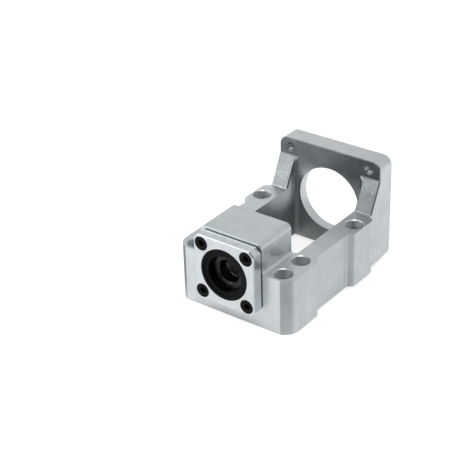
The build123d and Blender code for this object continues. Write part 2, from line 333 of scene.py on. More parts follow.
@dataclass(frozen=True)
class BracketAluminium(Finish):
    """Aluminium casting, tumbled to a satin and then milled, drilled and bored.

    The tumbled skin is an even grey. Milled sides have fine upright streaks and a band of painted shade
    where they turn towards the front, the gussets keep the grit of the mould with painted shade on their
    rims, and the drilled walls have rings and are painted lighter, as painted light inside the holes. The
    pocket's walls and the flange's near face carry painted shade, and so do the taps and the cover's joint.
    """

    name: str = "cast_aluminium"
    colour: str = "#D6D8DA"
    roughness: float = 0.36
    metallic: float = 1.0
    darker: str = "#7A7E80"
    lighter: str = "#F0F6F8"
    places: CastingPlaces = CastingPlaces()
    # Pattern sizes. The streaks are drawn about twice as wide as real ones, and the satin and the drill's
    # rings a few times as coarse, to show at all
    blotch_mm: float = 7.0
    satin_mm: float = 0.35
    streak_mm: float = 0.55
    streak_length_mm: float = 45.0
    lay_mm: float = 2.4
    lay_length_mm: float = 90.0
    sweep_length_mm: float = 30.0
    chatter_mm: tuple[float, float, float] = (1.1, 1.1, 0.3)
    drill_feed_mm: float = 0.6
    drill_wander: float = 14.0
    grit_mm: float = 0.38
    grit_reach: float = 0.14
    crumb_reach: float = 0.12
    # Depths of the patterns
    satin_depth_mm: float = 0.008
    streak_depth_mm: float = 0.002
    sweep_depth_mm: float = 0.003
    ring_depth_mm: float = 0.1
    grit_depth_mm: float = 0.024
    # Shade of the skin between the darker and the lighter colour, and what the other places add to it:
    # painted light on the drilled walls, and painted shade on the turning corners, the gussets' rims, the
    # taps and the cover's joint, the pocket's walls and the flange's near face
    skin_shade: tuple[float, float] = (0.69, 0.77)
    lay_shade: float = 0.025
    drilled_chatter_and_light: tuple[float, float] = (0.08, 0.33)
    grit_shade: tuple[float, float] = (-0.68, -0.32)
    front_turn_shade_level: float = -0.3
    rim_painted_shade: float = -0.45
    recess_shade_level: float = -0.6
    pocket_shade: float = -0.4
    flange_shade: tuple[float, float] = (-0.18, -0.72)
    flange_fade_mm: tuple[float, float] = (2.0, 18.0)
    # What the places add to the roughness
    satin_rough: float = 0.04
    streak_rough: float = 0.05
    grit_rough: float = 0.14
    drilled_rough: float = 0.2

    def draw(self, tree: bpy.types.NodeTree, shader: bpy.types.Node, place: Signal) -> None:
        """Draw the casting's skin, mill streaks, mould grit and drill rings."""
        spot = self.measure(tree, place)
        # From 60 degrees off the level a face begins to count as upright
        level = add(tree, "ShaderNodeMath", {"operation": "ABSOLUTE"}, {0: spot.upward})
        upright = past(tree, level, 0.5, -0.3)
        drilled = all_of(tree, self.drilled(tree, spot), upright)
        gritty = self.gritty(tree, spot)

        # The tumbling leaves soft blotches a few millimetres wide over a fine satin
        blotch = grain(tree, place, (self.blotch_mm,) * 3, 2.0)
        satin = grain(tree, place, (self.satin_mm,) * 3, 2.0)
        # Side milling leaves upright streaks, and face milling streaks along the walls
        streak = grain(tree, place, (self.streak_mm, self.streak_mm, self.streak_length_mm), 4.0)
        lay = grain(tree, place, (self.lay_mm, self.lay_mm, self.lay_length_mm))
        sweep = grain(tree, place, (self.streak_mm, self.sweep_length_mm, self.streak_mm))
        # The drill's rings wander with its chatter
        chatter = grain(tree, place, self.chatter_mm)
        turn = add(tree, "ShaderNodeMath", {"operation": "MULTIPLY"}, {
            0: spot.height, 1: 2 * math.pi / self.drill_feed_mm})
        ring = add(tree, "ShaderNodeMath", {"operation": "SINE"}, {
            0: sum_of(tree, turn, all_of(tree, chatter, self.drill_wander))})
        grit = grain(tree, place, (self.grit_mm,) * 3, 4.0)
        # Stepped here and once more in its height, so that the grains of the mould's sand stand out
        crumb = vary(tree, grit, 0.0, 1.0, self.crumb_reach)

        self.tint(tree, shader, sum_of(
            tree, vary(tree, blotch, *self.skin_shade),
            all_of(tree, upright, vary(tree, lay, -self.lay_shade, self.lay_shade)),
            # The drilled walls are painted lighter, as painted light inside the holes, varying with the
            # drill's chatter
            all_of(tree, drilled, vary(tree, chatter, *self.drilled_chatter_and_light, HARD)),
            all_of(tree, gritty, vary(tree, grit, *self.grit_shade, self.grit_reach)),
            # Painted shade in a band on the corners that turn towards the front
            all_of(tree, self.front_turn_shade(tree, spot, upright), self.front_turn_shade_level),
            # Painted shade on the gussets' rims
            all_of(tree, gritty, past(tree, spot.aside, 0.3, 0.3), self.rim_painted_shade),
            # Painted shade in the tapped holes and the cover's joint, and on the pocket's walls and the
            # flange's near face
            all_of(tree, self.recess_shade(tree, spot), self.recess_shade_level), self.inside(tree, spot)))
        self.roughen(
            tree, shader, vary(tree, satin, -self.satin_rough, self.satin_rough),
            all_of(tree, upright, vary(tree, streak, -self.streak_rough, self.streak_rough)),
            all_of(tree, gritty, self.grit_rough), all_of(tree, drilled, self.drilled_rough))
        self.relief(
            tree, shader, vary(tree, satin, 0.0, self.satin_depth_mm, SOFT),
            all_of(tree, upright, vary(tree, streak, 0.0, self.streak_depth_mm, SOFT)),
            vary(tree, sweep, 0.0, self.sweep_depth_mm, SOFT),
            all_of(tree, drilled, ramp(tree, ring, -1.0, 1.0, 0.0, self.ring_depth_mm)),
            all_of(tree, gritty, ramp(tree, crumb, 0.0, 1.0, 0.0, self.grit_depth_mm)))

    @staticmethod
    def measure(tree: bpy.types.NodeTree, place: Signal) -> Spot:
        """Work out where a point lies and how it faces, the same on the left and the right half.

        Args:
            tree: Node tree of the material.
            place: Object position in metres.

        Returns:
            Sockets with the place and the normal.
        """
        here = add(tree, "ShaderNodeSeparateXYZ", {}, {0: add(
            tree, "ShaderNodeVectorMath", {"operation": "SCALE"}, {0: place, "Scale": 1 / MM})})
        facing = add(tree, "ShaderNodeSeparateXYZ", {}, {0: add(
            tree, "ShaderNodeNewGeometry").outputs["Normal"]})
        across, aside = (add(tree, "ShaderNodeMath", {"operation": "ABSOLUTE"}, {0: part.outputs["X"]})
                         for part in (here, facing))
        return Spot(across, here.outputs["Y"], here.outputs["Z"],
                    aside, facing.outputs["Y"], facing.outputs["Z"])

    def drilled(self, tree: bpy.types.NodeTree, spot: Spot) -> Signal:
        """Mask of the six bolt holes below the wall tops.

        Args:
            tree: Node tree of the material.
            spot: Where the point lies.

        Returns:
            One in the holes and zero elsewhere.
        """
        at = self.places
        here = add(tree, "ShaderNodeCombineXYZ", {}, {0: spot.across, 1: spot.along})
        nearest = None
        centres = [(at.front_hole_x, y) for y in at.front_holes_y]
        for x, y in centres + [(at.rear_hole_x, at.rear_hole_y)]:
            gap = add(tree, "ShaderNodeVectorMath", {"operation": "DISTANCE"}, {
                0: here, 1: (x, y, 0.0)}).outputs["Value"]
            nearest = gap if nearest is None else add(
                tree, "ShaderNodeMath", {"operation": "MINIMUM"}, {0: nearest, 1: gap})
        return all_of(tree, beside(tree, nearest, at.hole_radius, at.hole_slack),
                      beside(tree, spot.height, at.wall_top, at.below_top))

    def gritty(self, tree: bpy.types.NodeTree, spot: Spot) -> Signal:
        """Mask of the sloping gusset faces, which are left as cast.

        Args:
            tree: Node tree of the material.
            spot: Where the point lies and how it faces.

        Returns:
            One on the gusset faces and zero elsewhere.
        """
        at = self.places
        sloping = all_of(tree, past(tree, spot.backward, -0.4, -0.2), past(tree, spot.upward, 0.2, 0.1))
        return all_of(tree, sloping, beside(tree, spot.along, at.gusset_start_y, at.gusset_slack),
                      beside(tree, spot.height, at.wall_top, at.above_top))

    def front_turn_shade(self, tree: bpy.types.NodeTree, spot: Spot, upright: Signal) -> Signal:
        """Mask of the corners that turn towards the front, where a band of painted shade goes.

        Args:
            tree: Node tree of the material.
            spot: How the point faces.
            upright: Mask of the faces that stand upright.

        Returns:
            One on those corners and zero elsewhere.
        """
        return all_of(tree, upright, past(tree, spot.aside, 0.3, 0.12), past(tree, spot.aside, 0.98, -0.16),
                      past(tree, spot.backward, 0.0, -0.1))

    def inside(self, tree: bpy.types.NodeTree, spot: Spot) -> Signal:
        """Painted shade on the pocket's walls and on the flange's near face, darker towards its top.

        Args:
            tree: Node tree of the material.
            spot: Where the point lies and how it faces.

        Returns:
            Change of the shade, zero on the other faces.
        """
        at = self.places
        # Painted shade on the pocket's walls, and on the flange's near face, darker towards its top
        walls = all_of(
            tree, past(tree, spot.aside, 0.8, 0.15),
            beside(tree, spot.across, at.pocket_x, at.plane_slack),
            beside(tree, spot.across, at.pocket_x, at.wall_slack), self.pocket_shade)
        start, end = (at.wall_top + rise for rise in self.flange_fade_mm)
        near = all_of(
            tree, past(tree, spot.backward, -0.85, -0.12),
            beside(tree, spot.along, at.flange_y, at.plane_slack),
            ramp(tree, spot.height, start, end, *self.flange_shade))
        return sum_of(tree, walls, near)

    def recess_shade(self, tree: bpy.types.NodeTree, spot: Spot) -> Signal:
        """Mask of the tapped holes and the joint behind the cover, where shade is painted in.

        Args:
            tree: Node tree of the material.
            spot: Where the point lies.

        Returns:
            One on those faces and zero elsewhere.
        """
        at = self.places
        rise = add(tree, "ShaderNodeMath", {"operation": "ABSOLUTE"}, {
            0: sum_of(tree, spot.height, -at.axis_height)})
        gap = add(tree, "ShaderNodeVectorMath", {"operation": "DISTANCE"}, {
            0: add(tree, "ShaderNodeCombineXYZ", {}, {0: spot.across, 1: rise}),
            1: (at.tap_offset, at.tap_offset, 0.0)}).outputs["Value"]
        taps = all_of(tree, beside(tree, gap, at.tap_radius, at.hole_slack),
                      beside(tree, spot.along, at.flange_y, at.plane_slack))
        joint = all_of(
            tree, beside(tree, spot.along, at.joint_y, at.wall_slack),
            beside(tree, spot.across, at.joint_half, at.joint_slack),
            beside(tree, rise, at.joint_half, at.joint_slack),
            beside(tree, sum_of(tree, spot.across, rise), at.joint_corner, at.corner_slack))
        return sum_of(tree, taps, joint)


@dataclass(frozen=True)
class MilledAluminium(Finish):
    """Wrought aluminium plate, fine milled and lightly anodised clear.

    Brighter and smoother than the casting, with the faint arcs of a face mill on its front.
    """

    name: str = "milled_aluminium"
    colour: str = "#E6E9EC"
    roughness: float = 0.27
    metallic: float = 1.0
    darker: str = "#D1D7DA"
    lighter: str = "#E7EDF0"
    blotch_mm: float = 6.0
    cutter_mm: float = 80.0
    feed_mm: float = 0.8
    feed_depth_mm: float = 0.0012
    wander_mm: tuple[float, float, float] = (0.5, 12.0, 12.0)
    wander_depth_mm: float = 0.003

    def draw(self, tree: bpy.types.NodeTree, shader: bpy.types.Node, place: Signal) -> None:
        """Draw the mill's arcs and a soft unevenness of the anodised layer."""
        blotch = grain(tree, place, (self.blotch_mm,) * 3, 2.0)
        # The cutter's centre lies well to the left, so its arcs cross the plate almost upright
        swept = add(tree, "ShaderNodeVectorMath", {"operation": "DISTANCE"}, {
            0: place, 1: (-self.cutter_mm * MM, 0.0, 0.0)}).outputs["Value"]
        arcs = add(tree, "ShaderNodeMath", {"operation": "SINE"}, {
            0: all_of(tree, swept, 2 * math.pi * per_metre(self.feed_mm))})
        wander = grain(tree, place, self.wander_mm)
        facing = add(tree, "ShaderNodeSeparateXYZ", {}, {0: add(
            tree, "ShaderNodeNewGeometry").outputs["Normal"]})
        front = past(tree, facing.outputs["Y"], -0.8, -0.15)
        self.tint(tree, shader, vary(tree, blotch, 0.3, 0.7))
        self.roughen(tree, shader, all_of(tree, front, vary(tree, wander, -0.04, 0.05)))
        self.relief(tree, shader,
                    all_of(tree, front, ramp(tree, arcs, -1.0, 1.0, 0.0, self.feed_depth_mm)),
                    all_of(tree, front, vary(tree, wander, 0.0, self.wander_depth_mm, SOFT)))


@dataclass(frozen=True)
class BlackOxide(Finish):
    """Alloy steel with a hot black oxide, lightly oiled.

    The porous oxide swallows the light and its film of oil leaves a thin soft shine. Its pores break up
    most of the reflection, so the IOR is matched well below the usual 1.5. The pores are drawn many
    times as coarse as real ones, to show.
    """

    name: str = "black_oxide_steel"
    colour: str = "#060607"
    roughness: float = 0.42
    ior: float = 1.2
    darker: str = "#040405"
    lighter: str = "#090A0B"
    pore_mm: float = 0.25
    pore_depth_mm: float = 0.006
    oil_mm: float = 2.5

    def draw(self, tree: bpy.types.NodeTree, shader: bpy.types.Node, place: Signal) -> None:
        """Draw the fine crystals of the oxide and thin patches of oil."""
        pores = grain(tree, place, (self.pore_mm,) * 3)
        oil = grain(tree, place, (self.oil_mm,) * 3, 1.0)
        self.tint(tree, shader, vary(tree, pores, 0.0, 1.0))
        self.roughen(tree, shader, vary(tree, oil, -0.08, 0.06), vary(tree, pores, -0.04, 0.04))
        self.relief(tree, shader, vary(tree, pores, 0.0, self.pore_depth_mm, SOFT))


@dataclass(frozen=True)
class NitrileRubber(Finish):
    """Carbon black nitrile rubber, moulded in a spark eroded tool.

    Nearly black, with a soft shine that the fine mould grain breaks up. Bloom dulls its skin, so the IOR
    is matched well below the usual 1.5. The grain is drawn about three times as coarse as real, to show.
    """

    name: str = "seal_rubber"
    colour: str = "#050607"
    roughness: float = 0.36
    ior: float = 1.18
    darker: str = "#030405"
    lighter: str = "#08090A"
    mould_grain_mm: float = 0.3
    mould_depth_mm: float = 0.012
    bloom_mm: float = 4.0

    def draw(self, tree: bpy.types.NodeTree, shader: bpy.types.Node, place: Signal) -> None:
        """Draw the mould grain and a faint bloom on the rubber."""
        mould = grain(tree, place, (self.mould_grain_mm,) * 3)
        bloom = grain(tree, place, (self.bloom_mm,) * 3, 2.0)
        # The bloom covers less than half of the skin, so its step lies above the mean
        self.tint(tree, shader, ramp(tree, bloom, 0.35, 0.75))
        self.roughen(tree, shader, vary(tree, mould, -0.05, 0.08))
        self.relief(tree, shader, vary(tree, mould, 0.0, self.mould_depth_mm, SOFT))


@dataclass(frozen=True)
class GroundSteel(Finish):
    """Through hardened bearing steel, ground and honed.

    Its colour is painted darker than bare steel, as painted shade of the depth of the bore. It is smooth,
    with hair-fine grinding lines round the axis, drawn several times as coarse as real ones.
    """

    name: str = "bearing_steel"
    # Painted shade: darker than bare steel, for the depth of the bore
    colour: str = "#7C7E7F"
    roughness: float = 0.2
    metallic: float = 1.0
    grinding_mm: tuple[float, float, float] = (20.0, 0.12, 20.0)
    grinding_depth_mm: float = 0.001

    def draw(self, tree: bpy.types.NodeTree, shader: bpy.types.Node, place: Signal) -> None:
        """Draw the grinding lines, which run round the shaft and so differ only along it."""
        lines = grain(tree, place, self.grinding_mm)
        self.roughen(tree, shader, vary(tree, lines, -0.05, 0.08))
        self.relief(tree, shader, vary(tree, lines, 0.0, self.grinding_depth_mm, SOFT))


@dataclass(frozen=True)
class SpringWire(Finish):
    """Hard drawn stainless wire, bright with fine die lines, drawn coarser than real ones."""

    name: str = "spring_wire"
    colour: str = "#B4B3AF"
    roughness: float = 0.25
    metallic: float = 1.0
    line_mm: float = 0.3

    def draw(self, tree: bpy.types.NodeTree, shader: bpy.types.Node, place: Signal) -> None:
        """Draw the die lines as small changes in shine."""
        lines = grain(tree, place, (self.line_mm,) * 3, 2.0)
        self.roughen(tree, shader, vary(tree, lines, -0.05, 0.1))


@dataclass(frozen=True)
class MouldedPolyamide(Finish):
    """Glass filled polyamide, injection moulded, cream and slightly dull.

    Its short glass fibres show through the skin, drawn about ten times as thick as real ones.
    """

    name: str = "cage_polyamide"
    colour: str = "#B9A67A"
    roughness: float = 0.5
    ior: float = 1.53
    darker: str = "#AD9A6E"
    lighter: str = "#C6B489"
    fibre_mm: tuple[float, float, float] = (0.15, 0.9, 0.15)
    fibre_depth_mm: float = 0.006

    def draw(self, tree: bpy.types.NodeTree, shader: bpy.types.Node, place: Signal) -> None:
        """Draw the short glass fibres."""
        fibre = grain(tree, place, self.fibre_mm)
        self.tint(tree, shader, vary(tree, fibre, 0.0, 1.0))
        self.relief(tree, shader, vary(tree, fibre, 0.0, self.fibre_depth_mm, SOFT))


def mesh_object(name: str, build: bmesh.types.BMesh, material: bpy.types.Material,
                smooth_degrees: float = 35.0) -> bpy.types.Object:
    """Turn a bmesh into a smooth shaded object.

    Args:
        name: Name of the new piece.
        build: Mesh in metres in the frame's coordinates. It is freed here.
        material: Material of the whole piece.
        smooth_degrees: Edges sharper than this stay sharp.

    Returns:
        The new object.
    """
    bmesh.ops.recalc_face_normals(build, faces=build.faces)
    for face in build.faces:
        face.smooth = True
    for edge in build.edges:
        edge.smooth = edge.calc_face_angle(0.0) < math.radians(smooth_degrees)
    data = bpy.data.meshes.new(name)
    build.to_mesh(data)
    build.free()
    data.materials.append(material)
    piece = bpy.data.objects.new(name, data)
    bpy.context.scene.collection.objects.link(piece)
    return piece


def dress(node: str, material: bpy.types.Material) -> None:
    """Give a node of the frame its material."""
    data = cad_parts[node].data
    data.materials.clear()
    data.materials.append(material)


def settle(piece: bpy.types.Object, slot: Slot, *stands_for: str) -> None:
    """Let a piece ride on the housing, in the place of the frame's nodes that it stands for."""
    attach(piece, Body.HOUSING.value)
    if stands_for:
        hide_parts(*stands_for)


def round_axis(angle: float, radius: float, along: float) -> Vector:
    """Point at an angle and a radius round the Y axis."""
    return Vector((radius * math.cos(angle), along, radius * math.sin(angle)))


def loft(build: bmesh.types.BMesh, rings: list[list[Vector]], closed: bool) -> None:
    """Skin a row of rings that have the same number of points.

    Args:
        build: Mesh that gets the skin.
        rings: Points of each ring, in order round it.
        closed: True if the last ring joins the first.
    """
    rows = [[build.verts.new(point) for point in ring] for ring in rings]
    count = len(rows)
    for row in range(count if closed else count - 1):
        first, second = rows[row], rows[(row + 1) % count]
        for i in range(len(first)):
            j = (i + 1) % len(first)
            build.faces.new((first[i], first[j], second[j], second[i]))


def rounded(corners: list[tuple[float, float]], radius: float, steps: int = 3) -> list[tuple[float, float]]:
    """Round the corners of a closed outline.

    Args:
        corners: Corners in order.
        radius: Largest radius, made smaller where an edge is short.
        steps: Pieces that each corner is divided into.

    Returns:
        Points of the rounded outline.
    """
    longest_share = 0.4
    points = []
    for i, corner in enumerate(corners):
        here = Vector(corner)
        before = Vector(corners[i - 1]) - here
        after = Vector(corners[(i + 1) % len(corners)]) - here
        reach = min(radius, longest_share * before.length, longest_share * after.length)
        start = here + before.normalized() * reach
        end = here + after.normalized() * reach
        for step in range(steps + 1):
            t = step / steps
            point = start * (1 - t) ** 2 + here * 2 * t * (1 - t) + end * t ** 2
            points.append((point.x, point.y))
    return points


@dataclass
class BracketBody:
    """The casting: bearing block, walls, gussets and motor flange."""

    node: str = "bracket_body"

    def build(self, material: bpy.types.Material) -> None:
        """Dress the casting, whose shape is the frame's own."""
        dress(self.node, material)
        LOG.info("casting dressed")


@dataclass
class MotorThreads:
    """Threads in the four tapped holes of the motor flange, millimetres."""

    screw_spacing: float = 49.5
    axis_height: float = 27.5
    near_y: float = 74.25
    face_y: float = 85.75
    core_radius: float = 2.1
    root_overlap: float = 0.02
    crest_radius: float = 1.86
    pitch: float = 0.8
    flank_share: float = 0.36
    chamfer: float = 0.6
    lower_depth: float = 8.5
    steps_per_turn: int = 28
    run_out_steps: int = 8

    def ridge(self, start_y: float, end_y: float) -> list[list[Vector]]:
        """Rings of a V-shaped ridge that winds along a hole.

        Args:
            start_y: Where the thread starts.
            end_y: Where it ends.

        Returns:
            Rings of three points each, about the hole's own axis.
        """
        turns = (end_y - start_y) / self.pitch - 1
        count = int(turns * self.steps_per_turn)
        half = self.pitch * self.flank_share
        root = self.core_radius + self.root_overlap
        rings = []
        for step in range(count + 1):
            angle = 2 * math.pi * step / self.steps_per_turn
            y = start_y + half + self.pitch * step / self.steps_per_turn
            height = min(1.0, step / self.run_out_steps, (count - step) / self.run_out_steps)
            crest = root - (root - self.crest_radius) * height
            section = [(root, y - half), (crest, y), (root, y + half)]
            rings.append([round_axis(angle, radius, along) for radius, along in section])
        return rings

    def build(self, material: bpy.types.Material) -> None:
        """Cut the four threads as one piece for each hole.

        Args:
            material: Metal of the threads.
        """
        half = self.screw_spacing / 2
        for number, (x, z) in enumerate([(-half, -half), (-half, half), (half, -half), (half, half)], 1):
            # The upper holes go through, and the lower ones end above the wall
            start = self.near_y + self.chamfer if z > 0 else self.face_y - self.lower_depth
            build = bmesh.new()
            loft(build, self.ridge(start, self.face_y - self.chamfer), closed=False)
            bmesh.ops.scale(build, vec=(MM,) * 3, verts=build.verts)
            bmesh.ops.translate(build, vec=Vector((x, 0, self.axis_height + z)) * MM, verts=build.verts)
            settle(mesh_object(f"motor_thread_{number}", build, material, smooth_degrees=80), Slot.CASTING)
        LOG.info("motor threads cut")


@dataclass
class RetainingCover:
    """Square plate that holds the bearings, with the front seal in it."""

    node: str = "retaining_cover"

    def build(self) -> None:
        """Dress the cover."""
        dress(self.node, MilledAluminium().material())
        LOG.info("cover dressed")


@dataclass
class CoverScrews:
    """Four M4 socket head screws of the cover, millimetres and degrees."""

    count: int = 4
    head_radius: float = 3.5
    head_height: float = 4.0
    head_round: float = 0.35
    round_steps: int = 4
    seat_chamfer: float = 0.25
    seat_inset: float = 0.3
    knurl_depth: float = 0.09
    knurl_teeth: int = 36
    knurl_middle_share: float = 0.45
    knurl_from_top: float = 0.75
    points_per_tooth: int = 4
    socket_flats: float = 3.0
    socket_depth: float = 2.0
    socket_cone: float = 0.8
    socket_chamfer: float = 0.25
    cone_step: tuple[float, float] = (0.1, 0.02)
    cone_tip: float = 0.05
    shank_radius: float = 2.0
    shank_points: int = 24
    rows_per_turn: int = 4
    thread_depth: float = 0.28
    thread_pitch: float = 0.7
    length: float = 12.0
    point_length: float = 0.5
    point_slope: float = 0.8
    first_turn: float = 17.0
    turn_between: float = 23.0

    def head_rings(self) -> list[list[Vector]]:
        """Rings of the knurled head, from its bearing face to the socket's bottom.

        Returns:
            Rings about the screw's own axis, with the head towards minus Y.
        """
        count = self.knurl_teeth * self.points_per_tooth
        knurl_end = self.head_height - self.knurl_from_top
        side = [(0.0, self.seat_inset), (self.seat_chamfer, 0.0),
                (self.head_height * self.knurl_middle_share, 0.0), (knurl_end, 0.0)]
        for step in range(self.round_steps + 1):
            angle = math.pi / 2 * step / self.round_steps
            side.append((self.head_height - self.head_round * (1 - math.sin(angle)),
                         self.head_round * (1 - math.cos(angle))))
        rings = []
        for along, inset in side:
            ring = []
            for i in range(count):
                angle = 2 * math.pi * i / count
                # Off the knurl the head has its mean radius
                wave = math.cos(self.knurl_teeth * angle) if self.seat_chamfer <= along <= knurl_end else 0.0
                radius = self.head_radius - inset - self.knurl_depth * (1 - wave) / 2
                ring.append(round_axis(angle, radius, -along))
            rings.append(ring)
        flat = self.socket_flats / 2
        top = -self.head_height
        floor = top + self.socket_depth
        for distance, y, squareness in (
                (flat + self.socket_chamfer, top, 0.6), (flat, top + self.socket_chamfer, 1.0),
                (flat, floor, 1.0), (flat - self.cone_step[0], floor + self.cone_step[1], 0.4),
                (self.cone_tip, floor + self.socket_cone, 0.0)):
            rings.append(self.hexagon(count, distance, y, squareness))
        return rings

    @staticmethod
    def hexagon(count: int, flat: float, y: float, squareness: float) -> list[Vector]:
        """Ring between a circle and a hexagon.

        Args:
            count: Points in the ring.
            flat: Distance from the axis to a flat.
            y: Place along the screw.
            squareness: One for a sharp hexagon and zero for a circle.

        Returns:
            Points of the ring.
        """
        ring = []
        for i in range(count):
            angle = 2 * math.pi * i / count
            within = (angle + math.pi / 6) % (math.pi / 3) - math.pi / 6
            ring.append(round_axis(angle, flat * ((1 - squareness) + squareness / math.cos(within)), y))
        return ring

    def shank(self, build: bmesh.types.BMesh) -> None:
        """Add the threaded shank as one winding skin with a pointed end.

        Args:
            build: Mesh in millimetres that gets the shank.
        """
        rows = int(self.length / self.thread_pitch * self.rows_per_turn)
        rings = []
        for row in range(rows + 1):
            along = self.length * row / rows
            point = max(0.0, self.point_length - (self.length - along)) * self.point_slope
            ring = []
            for i in range(self.shank_points):
                phase = along / self.thread_pitch - i / self.shank_points
                groove = self.thread_depth * abs(2 * (phase % 1) - 1)
                angle = 2 * math.pi * i / self.shank_points
                ring.append(round_axis(angle, self.shank_radius - max(groove, point), along))
            rings.append(ring)
        loft(build, rings, closed=False)
        build.faces.new(list(build.verts)[-self.shank_points:])

    def build(self) -> None:
        """Make each screw where the frame has it, each turned as the driver left it."""
        material = BlackOxide().material()
        for number in range(1, self.count + 1):
            node = f"cover_screw_{number}"
            low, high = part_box(node)
            build = bmesh.new()
            rings = self.head_rings()
            loft(build, rings, closed=False)
            count = len(rings[0])
            build.faces.new(list(build.verts)[:count])
            build.faces.new(list(build.verts)[-count:])
            self.shank(build)
            turn = math.radians(self.first_turn + self.turn_between * number)
            bmesh.ops.transform(build, matrix=Matrix.Rotation(turn, 4, "Y"), verts=build.verts)
            bmesh.ops.scale(build, vec=(MM,) * 3, verts=build.verts)
            seat = Vector(((low[0] + high[0]) / 2, low[1] + self.head_height * MM, (low[2] + high[2]) / 2))
            bmesh.ops.translate(build, vec=seat, verts=build.verts)
            settle(mesh_object(f"socket_head_screw_{number}", build, material), Slot.SCREW, node)
            LOG.info("screw %d set in the cover", number)


@dataclass
class OilSeal:
    """One rubber oil seal and its garter spring, millimetres."""

    place: str
    seat_radius: float
    lip_radius: float
    face_y: float
    inward: Inward
    axis_height: float = 27.5
    width: float = 5.0
    clearance: float = 0.03
    lip_clearance: float = 0.05
    wall: float = 1.5
    web: float = 0.9
    web_set_back: float = 0.5
    lip_edge: float = 4.2
    lip_edge_width: float = 0.3
    lip_slope: float = 0.35
    lip_shoulder: float = 1.0
    lip_set_back: float = 0.1
    lip_thickness: float = 1.1
    edge_radius: float = 0.16
    spring_from_face: float = 4.25
    spring_stand_out: float = 0.12
    spring_radius: float = 0.35
    wire_radius: float = 0.11
    wire_sides: int = 5
    winding_pitch: float = 0.264
    steps_per_winding: int = 10
    round_steps: int = 128

    def profile(self) -> list[tuple[float, float]]:
        """Section of the rubber as distance behind the face and radius.

        Returns:
            Rounded outline of the section.
        """
        rim = self.seat_radius - self.clearance
        sleeve = rim - self.wall
        lip = self.lip_radius + self.lip_clearance
        back = lip + self.lip_thickness
        slope = lip + self.lip_slope
        web_end = self.web_set_back + self.web
        lip_end = self.width - self.lip_set_back
        corners = [
            (0, rim), (self.width, rim), (self.width, sleeve), (web_end, sleeve),
            (web_end, back + self.lip_slope), (self.lip_edge - self.lip_shoulder, back), (lip_end, back),
            (lip_end, slope), (self.lip_edge + self.lip_edge_width, lip), (self.lip_edge, lip),
            (web_end, slope), (self.web_set_back, slope), (self.web_set_back, sleeve), (0, sleeve),
        ]
        return rounded(corners, self.edge_radius)

    def turned(self, section: list[tuple[float, float]]) -> bmesh.types.BMesh:
        """Turn a section about the shaft.

        Args:
            section: Distance behind the face and radius of each point.

        Returns:
            Closed skin in metres.
        """
        rings = []
        for step in range(self.round_steps):
            angle = 2 * math.pi * step / self.round_steps
            rings.append([Vector((
                radius * math.cos(angle), self.face_y + self.inward.value * along,
                self.axis_height + radius * math.sin(angle))) * MM for along, radius in section])
        build = bmesh.new()
        loft(build, rings, closed=True)
        return build

    def coil(self) -> bmesh.types.BMesh:
        """Wind the garter spring: a fine close coil bent into a ring.

        Returns:
            Closed skin in metres.
        """
        ring_radius = self.lip_radius + self.lip_clearance + self.lip_thickness + self.spring_stand_out
        coil_radius = self.spring_radius - self.wire_radius
        windings = int(2 * math.pi * ring_radius / self.winding_pitch)
        steps = windings * self.steps_per_winding
        middle = Vector((0, self.face_y + self.inward.value * self.spring_from_face, self.axis_height))
        rings = []
        for step in range(steps):
            around = 2 * math.pi * step / steps
            wound = windings * around
            outward = round_axis(around, 1, 0)
            centre = outward * (ring_radius + coil_radius * math.cos(wound))
            centre.y = coil_radius * math.sin(wound)
            lean = outward * math.cos(wound) + Vector((0, math.sin(wound), 0))
            onward = Vector((-math.sin(around), 0, math.cos(around)))
            ring = []
            for side in range(self.wire_sides):
                angle = 2 * math.pi * side / self.wire_sides
                skin = (lean * math.cos(angle) + onward * math.sin(angle)) * self.wire_radius
                ring.append((centre + skin + middle) * MM)
            rings.append(ring)
        build = bmesh.new()
        loft(build, rings, closed=True)
        return build

    def build(self, rubber: bpy.types.Material, wire: bpy.types.Material) -> None:
        """Make the seal and its spring in the place of the frame's plain ones.

        Args:
            rubber: Finish of the seal.
            wire: Finish of the garter spring.
        """
        seal = mesh_object(f"{self.place}_lip_seal", self.turned(self.profile()), rubber, smooth_degrees=50)
        settle(seal, Slot.SEAL, f"{self.place}_oil_seal")
        spring = mesh_object(f"{self.place}_garter_spring", self.coil(), wire, smooth_degrees=60)
        settle(spring, Slot.SPRING, f"{self.place}_seal_spring")
        LOG.info("%s oil seal moulded, spring wound", self.place)


@dataclass
class BearingPair:
    """Two angular contact bearings and the collar in front of them."""

    places: tuple[str, str] = ("front", "rear")
    steel_members: tuple[str, ...] = ("outer_ring", "inner_ring", "balls")
    # The collar was ground before it was blackened, so it keeps a dark metal shine and a metal's IOR
    collar: BlackOxide = BlackOxide(
        name="black_oxide_collar", roughness=0.3, metallic=1.0, ior=1.5, darker="#303233", lighter="#3E4142")

    def build(self) -> None:
        """Dress rings, balls, cages and collar."""
        steel = GroundSteel().material()
        cage = MouldedPolyamide().material()
        for place in self.places:
            for member in self.steel_members:
                dress(f"{place}_{member}", steel)
            dress(f"{place}_cage", cage)
            LOG.info("%s bearing dressed", place)
        dress("front_collar", self.collar.material())
        LOG.info("collar dressed")


@dataclass(frozen=True)
class Opening:
    """Dark gap in the white tent round the table, angles in degrees."""

    towards: tuple[float, float, float]
    inner: float
    outer: float
    level: float


@dataclass(frozen=True)
class Shade:
    """Patch of painted shade on the table that only the metal's reflections see, metres."""

    place: tuple[float, float, float]
    inner: float
    outer: float
    level: float


